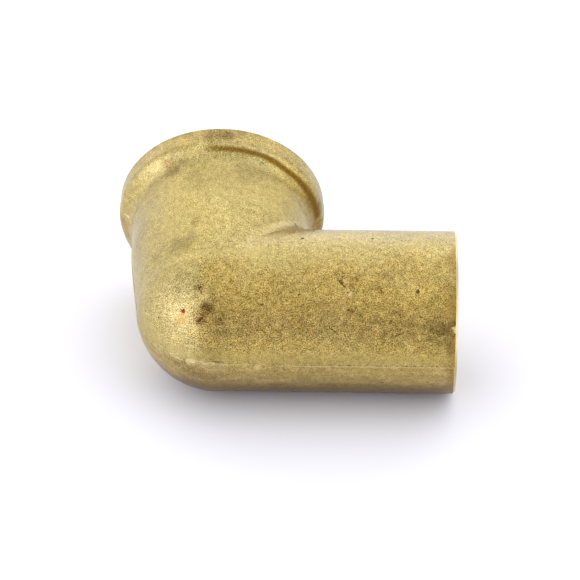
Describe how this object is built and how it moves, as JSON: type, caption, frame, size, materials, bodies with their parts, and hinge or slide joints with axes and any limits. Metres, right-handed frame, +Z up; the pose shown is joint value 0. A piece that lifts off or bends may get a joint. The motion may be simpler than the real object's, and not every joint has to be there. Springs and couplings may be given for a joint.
{
  "type": "elbow fitting",
  "caption": "Ninety degree brass pipe elbow with a plain solder socket arm and a collared arm bored for a female pipe thread.",
  "frame": {"origin": "centre of the underside of the fitting's box, on the surface it lies on", "axes": "+X along the plain arm, out of its socket; +Z up; the collared arm points to +Y and leans up by 9 degrees, because the fitting lies on the plain arm's side and on the collar's rim"},
  "size_m": [0.0442, 0.0326, 0.0269],
  "materials": {
    "forged_brass": "as forged and blasted, machined bright at both ends and in the bores"
  },
  "bodies": {
    "root": {"elbow_body": "forged_brass"}
  },
  "joints": []
}
